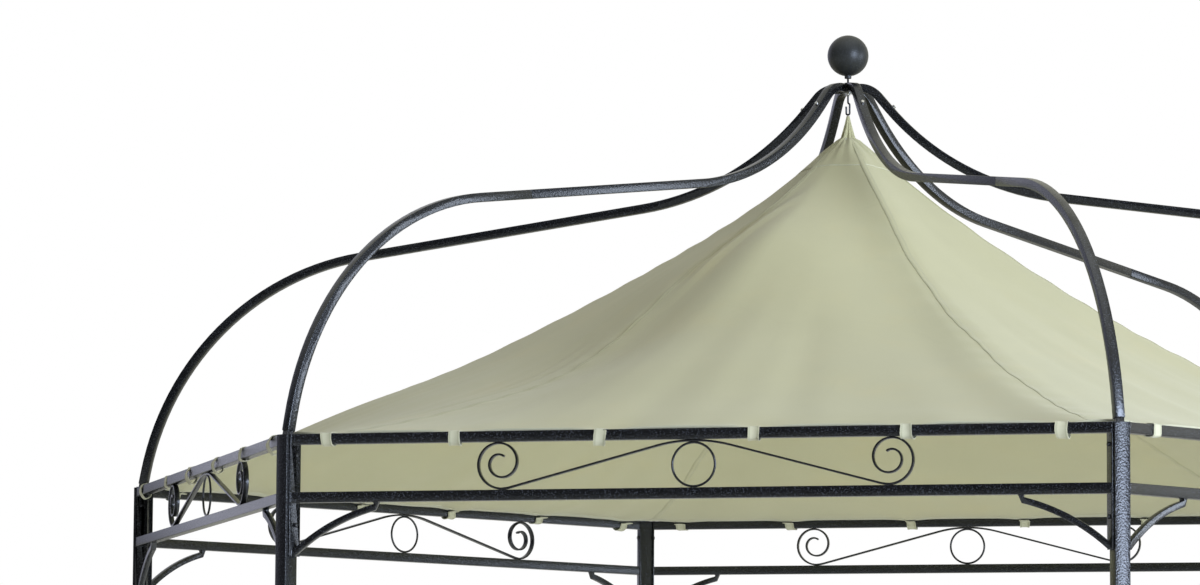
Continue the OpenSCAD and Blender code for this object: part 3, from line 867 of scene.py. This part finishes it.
class GAZEBO_OT_crown(bpy.types.Operator):
    """Turn the ball with its collar and stud, and make the nut and the hook"""
    bl_idname = "gazebo.crown"
    bl_label = "Ball, nut and hook"

    def execute(self, context):
        self.ball()
        settle(rounded_copy("crown_nut", 0.0004), "crown_nut.plated", "zinc", "zinc", "crown_nut")
        self.hook()
        return {"FINISHED"}

    def ball(self):
        middle = BALL_TOP - BALL_R
        line = [(0.0, STUD_LOW + 0.0004), (STUD_R * 0.8, STUD_LOW + 0.0004)]
        low = BALL_TOP - 2 * BALL_R - COLLAR_H
        turns = 56
        for i in range(turns + 1):
            z = STUD_LOW + 0.001 + (low - STUD_LOW - 0.0012) * i / turns
            line.append((STUD_R - (0.0003 if i % 2 else 0.0), z))
        line += [(COLLAR_R - 0.0008, low), (COLLAR_R - 0.0002, low + 0.0003), (COLLAR_R, low + 0.0009),
                 (COLLAR_R, low + COLLAR_H - 0.001)]
        start = math.asin(COLLAR_R * 1.02 / BALL_R)
        angles = [start + (pi - start) * i / 44 for i in range(44)]
        line += [(BALL_R * sin(a), middle - BALL_R * cos(a)) for a in angles]
        line.append((0.0, BALL_TOP))
        piece = mesh_piece("ball", [(x, 0, z) for x, z in line], [])
        piece.data.edges.add(len(line) - 1)
        piece.data.edges.foreach_set("vertices", [v for i in range(len(line) - 1) for v in (i, i + 1)])
        piece.data.update()
        edit(piece)
        bpy.ops.mesh.spin(steps=64, angle=2 * pi, center=(0, 0, 0), axis=(0, 0, 1))
        leave()
        outwards(piece)
        smooth(piece, 35)
        settle(piece, "ball_finial.coated", "ball_coat", "ball_coat", "ball_finial")

    def hook(self):
        bend = HOOK_LOW + HOOK_WIRE / 2 + HOOK_BEND
        jog = bend + 0.019
        jog_top = jog + 2 * HOOK_BEND * sin(pi / 3)

        def arc(x, z, start, end, count):
            return [(x + HOOK_BEND * cos(radians(start + (end - start) * i / count)),
                     z + HOOK_BEND * sin(radians(start + (end - start) * i / count)))
                    for i in range(count + 1)]

        line = [(0, HOOK_TOP - 0.0002)] + arc(HOOK_BEND, jog_top, 180, 240, 8) + arc(0, jog, 50, 0, 8)
        line += arc(0, bend, 0, -180, 24)
        line += [(-HOOK_BEND, bend + 0.010), (-HOOK_BEND * 1.1, bend + 0.0155)]
        curve = bpy.data.curves.new("hook", "CURVE")
        curve.dimensions = "3D"
        wire = curve.splines.new("POLY")
        wire.points.add(len(line) - 1)
        for spot, (x, z) in zip(wire.points, line):
            spot.co = (x, 0, z, 1)
        curve.bevel_depth = HOOK_WIRE / 2
        curve.bevel_resolution = 5
        curve.use_fill_caps = True
        only(link(bpy.data.objects.new("hook", curve)))
        bpy.ops.object.convert(target="MESH")
        piece = bpy.context.view_layer.objects.active
        outwards(piece)
        smooth(piece, 40)
        settle(piece, "canopy_hook.bent_wire", "scroll_coat", "scroll_coat", "canopy_hook")


class GAZEBO_OT_canopy(bpy.types.Operator):
    """Lay the canopy as one sheet of cloth with its folds"""
    bl_idname = "gazebo.canopy"
    bl_label = "Canopy cloth"

    def execute(self, context):
        around, rows = 56, 110
        columns = around * 6
        lengths = [slant(j / around, 1.0) for j in range(around)]
        points = [on_canopy(j / around, i / rows) for i in range(rows + 1) for j in range(columns)]
        flat = []
        for i in range(rows):
            for j in range(columns):
                side, part = divmod(j, around)
                corners = []
                for a, b in ((part, i), (part, i + 1), (part + 1, i + 1), (part + 1, i)):
                    t = b / rows
                    corners.append(((2 * a / around - 1) * HALF_SIDE * t + 2.2 * side,
                                    lengths[a % around] * t))
                flat.append(tuple(corners))
        piece = skin("canopy", points, list(net(rows, columns)), flat, sizes().cloth)
        settle(piece, "canopy_sheet", "canopy_cloth", "canopy_cloth",
               *["canopy_panel_" + name for name in SIDES])
        return {"FINISHED"}


class GAZEBO_OT_canopy_trim(bpy.types.Operator):
    """Sew the seams, the hem, the cap and the gathered point"""
    bl_idname = "gazebo.canopy_trim"
    bl_label = "Seams, hem and point"

    def execute(self, context):
        self.seams()
        self.hem()
        self.cap()
        return {"FINISHED"}

    def seams(self):
        half, under = sizes().seam / 2, -sizes().cloth
        profile = [(-half, -0.0003), (-half, 0.0009), (-half * 0.86, 0.0014), (-half * 0.5, 0.0011),
                   (0, 0.0007), (half * 0.6, 0.0005), (half * 0.9, 0.0003), (half, -0.0003),
                   (half * 0.9, under - 0.0002), (half * 0.5, under - 0.0008),
                   (-half * 0.5, under - 0.0008), (-half * 0.9, under - 0.0002)]
        rows = 150
        for corner, name in enumerate(CORNERS):
            rings, along, walked, last = [], [], 0.0, None
            for i in range(rows + 1):
                t = 0.012 + 0.979 * i / rows
                wide = 2 * HALF_SIDE * t + EYE
                over = 0.0012 * (1 - ease(t, 0.057, 0.062)) + 0.001 * (1 - ease(t, 0.01, 0.05))
                stray = 0.0035 * sin(31 * t + 2 * corner) * sin(pi * t) * ease(t, 0.1, 0.3)
                slim = 0.45 + 0.55 * ease(t, 0.012, 0.06)
                rings.append([on_canopy(corner + 6 + (x * slim + stray) / wide, t, z + over)
                              for x, z in profile])
                here = rings[-1][4]
                walked += (here - last).length if last else 0.0
                along.append(walked)
                last = here
            piece = swept("seam", rings, [x for x, _ in profile], along)
            smooth(piece, 50)
            settle(piece, f"canopy_seam_{name}", "seam_cloth", "canopy_cloth")

    def hem(self):
        thick, width = sizes().cloth, sizes().hem
        profile = [(width, 0.0002), (width - 0.0008, 0.0010), (width * 0.5, 0.0011), (0.0050, 0.0012),
                   (0.0028, 0.0024), (0.0008, 0.0028), (-0.0008, 0.0020), (-0.0013, 0.0),
                   (-0.0010, -0.0022), (0.0004, -0.0032), (0.0026, -thick - 0.0020),
                   (0.0050, -thick - 0.0011), (width * 0.5, -thick - 0.0011),
                   (width - 0.0008, -thick - 0.0010), (width, -thick - 0.0002)]
        span = slant(0.5, 1.0)
        rings, along, walked, last = [], [], 0.0, None
        count = 6 * 64
        for j in range(count):
            ring = []
            for d, z in profile:
                spot = on_canopy(6 * j / count, 1 - max(0.0, d) / span, z)
                if d < 0:
                    spot -= Vector((spot.x, spot.y, 0)).normalized() * d
                ring.append(spot)
            rings.append(ring)
            walked += (ring[7] - last).length if last else 0.0
            along.append(walked)
            last = ring[7]
        across = [d - width + 0.0125 for d, _ in profile]
        piece = swept("hem", rings, across, along, loop=True)
        smooth(piece, 50)
        settle(piece, "canopy_hem", "hem_cloth", "canopy_cloth")

    def cap(self):
        """Cap patch with a corded edge, drawn up into the gathered point."""
        columns, gathers, spread = 144, 16, 22
        wide, tall = 0.004, 0.0045
        spots = [(6 * j / columns, 2 * pi * j / columns) for j in range(columns)]

        def pleat(turn, share):
            return sin(11 * turn + 2.2 * sin(2 * turn) + 3 * share)

        points = []
        for i in range(gathers + 1):
            share = i / gathers
            z = POINT_TOP - 0.0004 - (POINT_TOP - APEX) * share * 0.97
            r = 0.0032 + (POINT_R - 0.0027) * share ** 1.05
            for _, turn in spots:
                fine = sin(23 * turn + 4 * share)
                out = r * (1 + 0.13 * pleat(turn, share) * (0.5 + share) + 0.04 * fine)
                points.append(Vector((out * cos(turn), out * sin(turn), z)))
        for i in range(1, spread + 1):
            share = i / spread
            for s, turn in spots:
                spot = on_canopy(s, CAP_TOP + CAP_REACH * share, 0.0024 - 0.0015 * share)
                spot.z += 0.0022 * pleat(turn, 1) * math.exp(-share / 0.25)
                spot.z += 0.0008 * sin(5 * turn + 9 * share)
                points.append(spot)
        rows = gathers + spread
        faces = list(net(rows, columns))
        flat = [tuple(((j + a) * wide, (i + b) * tall) for a, b in ((0, 0), (0, 1), (1, 1), (1, 0)))
                for i in range(rows) for j in range(columns)]
        top = len(points)
        points.append(Vector((0, 0, POINT_TOP - 0.0002)))
        for j in range(columns):
            faces.append((top, j, (j + 1) % columns))
            flat.append(((0.3, 0), (j * wide, 0), ((j + 1) * wide, 0)))
        settle(skin("cap", points, faces, flat, 0.0006), "canopy_cap", "canopy_cloth", "canopy_cloth",
               "canopy_point")
        rings, along = [], []
        for s, _ in spots:
            middle = on_canopy(s, CAP_TOP + CAP_REACH, 0.0003)
            normal = base_normal(s, 0.07)
            out = (on_base(s, 0.08) - on_base(s, 0.06)).normalized()
            rings.append([middle + normal * (0.0013 * cos(a)) + out * (0.0013 * sin(a))
                          for a in (pi * i / 4 for i in range(8))])
            along.append(len(along) * 0.0047)
        edge = swept("piping", rings, [0.003 * i for i in range(8)], along, loop=True)
        smooth(edge, 60)
        settle(edge, "canopy_cap_piping", "hem_cloth", "canopy_cloth")


class GAZEBO_OT_tabs(bpy.types.Operator):
    """Loop the cloth tabs round the upper rails"""
    bl_idname = "gazebo.tabs"
    bl_label = "Rail tabs"

    def execute(self, context):
        for side, name in enumerate(SIDES):
            piece = joined([self.tab(side, i, place) for i, place in enumerate(TABS[side])])
            settle(piece, f"rail_tabs_{name}", "tab_cloth", "canopy_cloth", f"rail_loops_{name}")
        return {"FINISHED"}

    def tab(self, side, number, place):
        """One tab: sewn to the canopy, over the rail, down, under and back to the hem."""
        slack = TAB_SLACK[side] * (0.6 + 0.4 * sin(2.1 * number + side))
        half = RAIL_W / 2 + TAB_GAP + 0.0006
        s = side + 0.5 + place / CORNER_R
        mid = radians(60 * side + 30)
        turn = Matrix.Rotation(-mid, 4, "Z")
        hem = turn @ on_canopy(s, 1.0)
        inner = turn @ on_canopy(s, 0.986)
        start_z = inner.z - EAVES + 0.0022
        path = [(inner.x - RAIL_Y, start_z), (hem.x - RAIL_Y - 0.001, hem.z - EAVES + 0.0030),
                (-half + 0.002, 0.0016), (0, 0.0012 + 0.001 * slack), (half - 0.003, 0.0012),
                (half - 0.0005, 0.0002), (half, -0.003),
                (half + 0.0026 * slack, -RAIL_W / 2), (half + 0.0018 * slack, -RAIL_W + 0.002),
                (half - 0.002, -RAIL_W - 0.0009 - 0.003 * slack),
                (0.002, -RAIL_W - 0.0012 - 0.0065 * slack),
                (-half + 0.003, -RAIL_W - 0.0008 - 0.003 * slack),
                (-half, -RAIL_W + 0.002), (-half - 0.0004, -0.012), (-half - 0.0014, -0.0095),
                (-half - 0.012, -0.0100), (-half - 0.020, -0.0092)]
        line = self.rounded(path, 3)
        half_wide = sizes().tab / 2
        shape = [(-half_wide, -0.0007), (-half_wide - 0.0002, 0.0002), (-half_wide, 0.0010),
                 (-half_wide + 0.0035, 0.0011), (-half_wide + 0.0045, 0.0006), (0, 0.0006),
                 (half_wide - 0.0045, 0.0006), (half_wide - 0.0035, 0.0011), (half_wide, 0.0010),
                 (half_wide + 0.0002, 0.0002), (half_wide, -0.0007), (0, -0.0006)]
        rings, along, walked = [], [], 0.0
        skew = 0.10 * sin(1.3 * number + 2.2 * side) - (0.42 if side == 3 else 0.0)
        for i, (x, z) in enumerate(line):
            a, b = line[max(i - 1, 0)], line[min(i + 1, len(line) - 1)]
            way = Vector((b[0] - a[0], b[1] - a[1])).normalized()
            out = Vector((-way.y, way.x))
            walked += math.dist(line[i - 1], line[i]) if i else 0.0
            drift = place + skew * (walked - 0.045) + 0.0012 * sin(walked * 95 + number)
            squeeze = 1 - 0.06 * sin(walked * 60 + number * 2 + side)
            squeeze += 0.16 * (1 - ease(walked, 0.012, 0.026))
            ring = []
            for w, h in shape:
                curl = 0.0010 * (w / half_wide) ** 2 * sin(walked * 70 + number)
                curl += 0.0012 * slack * noise.noise(Vector((w * 60, walked * 45, 5.0 * number + side)))
                ring.append(Vector((RAIL_Y + x + out.x * (h + curl), drift + w * squeeze,
                                    EAVES + z + out.y * (h + curl))))
            rings.append(ring)
            along.append(walked)
        piece = swept("tab", rings, [w for w, _ in shape], along)
        piece.data.transform(Matrix.Rotation(mid, 4, "Z"))
        smooth(piece, 60)
        return piece

    def rounded(self, path, times):
        """Cuts a path's corners a few times."""
        for _ in range(times):
            made = [path[0]]
            for (ax, az), (bx, bz) in zip(path, path[1:]):
                made += [(0.75 * ax + 0.25 * bx, 0.75 * az + 0.25 * bz),
                         (0.25 * ax + 0.75 * bx, 0.25 * az + 0.75 * bz)]
            path = made + [path[-1]]
        return path


class GAZEBO_PT_panel(bpy.types.Panel):
    """Lists the gazebo's operators, sizes and finishes"""
    bl_label = "Garden gazebo"
    bl_idname = "GAZEBO_PT_panel"
    bl_space_type = "VIEW_3D"
    bl_region_type = "UI"
    bl_category = "Gazebo"

    def draw(self, context):
        for operator in OPERATORS:
            self.layout.operator(operator.bl_idname)
        for settings in (context.scene.gazebo_sizes, context.scene.gazebo_finishes):
            for name in settings.__annotations__:
                self.layout.prop(settings, name)


OPERATORS = [GAZEBO_OT_stage, GAZEBO_OT_frame, GAZEBO_OT_scrollwork, GAZEBO_OT_welds, GAZEBO_OT_screws,
             GAZEBO_OT_crown, GAZEBO_OT_canopy, GAZEBO_OT_canopy_trim, GAZEBO_OT_tabs]
CLASSES = [GazeboSizes, GazeboFinishes, *OPERATORS, GAZEBO_PT_panel]


def register():
    for made in CLASSES:
        bpy.utils.register_class(made)
    bpy.types.Scene.gazebo_sizes = PointerProperty(type=GazeboSizes)
    bpy.types.Scene.gazebo_finishes = PointerProperty(type=GazeboFinishes)


def unregister():
    del bpy.types.Scene.gazebo_finishes
    del bpy.types.Scene.gazebo_sizes
    for made in reversed(CLASSES):
        bpy.utils.unregister_class(made)


def main():
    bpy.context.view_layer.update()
    register()
    build_materials()
    for operator in OPERATORS:
        group_name, call = operator.bl_idname.split(".")
        getattr(getattr(bpy.ops, group_name), call)()


if __name__ == "__main__":
    main()
